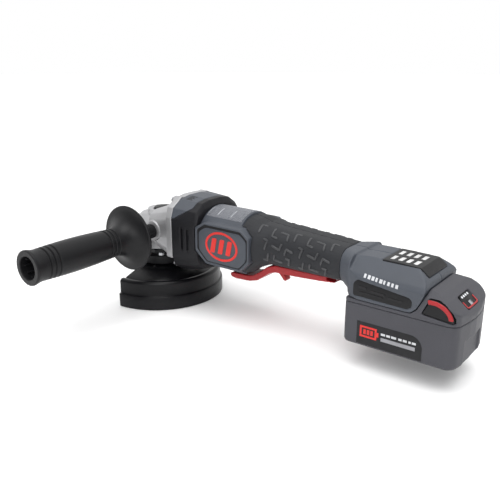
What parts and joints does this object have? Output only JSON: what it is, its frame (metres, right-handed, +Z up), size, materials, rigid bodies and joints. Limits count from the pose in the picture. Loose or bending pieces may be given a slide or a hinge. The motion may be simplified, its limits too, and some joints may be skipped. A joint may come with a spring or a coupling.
{
  "type": "angle grinder",
  "caption": "Cordless angle grinder with a paddle switch, adjustable wheel guard, side handle and slide-on battery pack.",
  "frame": {"origin": "On the spindle axis, at the face that the grinding wheel seats on", "axes": "+X runs back along the motor to the battery, +Z is up along the spindle, and the side handle points to -Y"},
  "size_m": [0.401, 0.2564, 0.121],
  "materials": {
    "cast_alloy": "sand-textured die casting",
    "steel": "turned and ground",
    "black_plastic": "fine moulded grain",
    "black_paint": "satin black enamel",
    "black_rubber": "overmoulded soft rubber",
    "slate_plastic": "fine moulded grain",
    "copper": "enamelled copper",
    "red_plastic": "satin moulded",
    "board": "solder mask",
    "battery_grey": "fine moulded grain",
    "cell_sleeve": "shrink sleeve"
  },
  "bodies": {
    "body": {"gear_case": "cast_alloy", "gear_case_screws": "steel", "bearing_plate": "black_paint", "bearing_plate_screws": "steel", "spindle_bearing_lower": "steel", "spindle_bearing_upper": "steel", "motor_collar": "black_rubber", "collar_arch": "slate_plastic", "stator": "steel", "stator_coils": "copper", "motor_bearing_front": "steel", "motor_bearing_rear": "steel", "housing_left": "slate_plastic", "housing_right": "slate_plastic", "grip_rubber_left": "black_rubber", "grip_rubber_right": "black_rubber", "badge_left": "slate_plastic", "badge_right": "slate_plastic", "housing_screws": "steel", "paddle_pin": "steel", "paddle_spring": "steel", "lock_spring": "steel", "trigger_switch": "black_plastic", "controller_board": "board", "motor_leads": "red_plastic", "vent_grille": "black_plastic", "vent_screen": "steel", "nameplate_left": "black_plastic", "nameplate_right": "black_plastic", "terminal_block": "black_plastic"},
    "spindle": {"spindle": "steel", "bevel_gear": "steel", "inner_flange": "steel"},
    "rotor": {"rotor_shaft": "steel", "rotor_core": "steel", "pinion": "steel", "fan": "black_plastic"},
    "lock": {"lock_button": "black_plastic", "lock_pin": "steel"},
    "side_handle": {"side_handle_grip": "black_plastic", "side_handle_stud": "steel"},
    "guard": {"guard_shell": "black_paint", "guard_clamp_band": "black_paint", "guard_clamp_screw": "steel"},
    "paddle": {"paddle_lever": "red_plastic", "lockoff_pin": "steel"},
    "lockoff": {"lockoff_tab": "red_plastic"},
    "plunger": {"switch_plunger": "red_plastic"},
    "battery": {"battery_lower_case": "battery_grey", "battery_upper_case": "battery_grey", "battery_cells": "cell_sleeve", "battery_board": "board", "battery_terminals": "copper", "release_springs": "steel", "gauge_panel": "black_plastic"},
    "release_left": {"release_button_left": "red_plastic"},
    "release_right": {"release_button_right": "red_plastic"},
    "gauge": {"gauge_button": "red_plastic"}
  },
  "joints": [
    {"name": "spindle_spin", "type": "hinge", "parent": "body", "child": "spindle", "pos_m": [0, 0, 0], "axis": [0, 0, 1], "continuous": true},
    {"name": "motor_spin", "type": "hinge", "parent": "body", "child": "rotor", "pos_m": [0.08, 0, 0.063], "axis": [1, 0, 0], "continuous": true},
    {"name": "spindle_lock_press", "type": "slide", "parent": "body", "child": "lock", "axis": [0, 0, -1], "range_m": [0, 0.003], "stiffness_N_per_m": 900, "springref_m": -0.003, "deforming": ["lock_spring"]},
    {"name": "paddle_squeeze", "type": "hinge", "parent": "body", "child": "paddle", "pos_m": [0.24, 0, 0.053], "axis": [0, 1, 0], "range_deg": [0, 3], "stiffness_Nm_per_rad": 12, "springref_deg": -1.72, "deforming": ["paddle_spring"]},
    {"name": "lockoff_tilt", "type": "hinge", "parent": "paddle", "child": "lockoff", "pos_m": [0.1665, 0, 0.0455], "axis": [0, 1, 0], "range_deg": [0, 30], "stiffness_Nm_per_rad": 0.02, "springref_deg": -17.19},
    {"name": "switch_press", "type": "slide", "parent": "body", "child": "plunger", "axis": [0, 0, 1], "range_m": [0, 0.0025]},
    {"name": "guard_swing", "type": "hinge", "parent": "body", "child": "guard", "pos_m": [0, 0, 0.025], "axis": [0, 0, 1], "range_deg": [-90, 90]},
    {"name": "handle_unscrew", "type": "slide", "parent": "body", "child": "side_handle", "axis": [0, -1, 0], "range_m": [0, 0.014]},
    {"name": "battery_slide", "type": "slide", "parent": "body", "child": "battery", "axis": [1, 0, 0], "range_m": [0, 0.08]},
    {"name": "release_left_press", "type": "slide", "parent": "battery", "child": "release_left", "axis": [0, 1, 0], "range_m": [0, 0.0025], "stiffness_N_per_m": 1200, "springref_m": -0.002, "deforming": ["release_springs"]},
    {"name": "release_right_press", "type": "slide", "parent": "battery", "child": "release_right", "axis": [0, -1, 0], "range_m": [0, 0.0025], "stiffness_N_per_m": 1200, "springref_m": -0.002, "deforming": ["release_springs"]},
    {"name": "gauge_button_press", "type": "slide", "parent": "battery", "child": "gauge", "axis": [-0.6266, 0, -0.7793], "range_m": [0, 0.0006], "stiffness_N_per_m": 800, "springref_m": -0.0005}
  ],
  "couplings": [
    {"joint": "motor_spin", "follows": "spindle_spin", "ratio": 4},
    {"joint": "switch_press", "follows": "paddle_squeeze", "m_per_rad": 0.044}
  ]
}
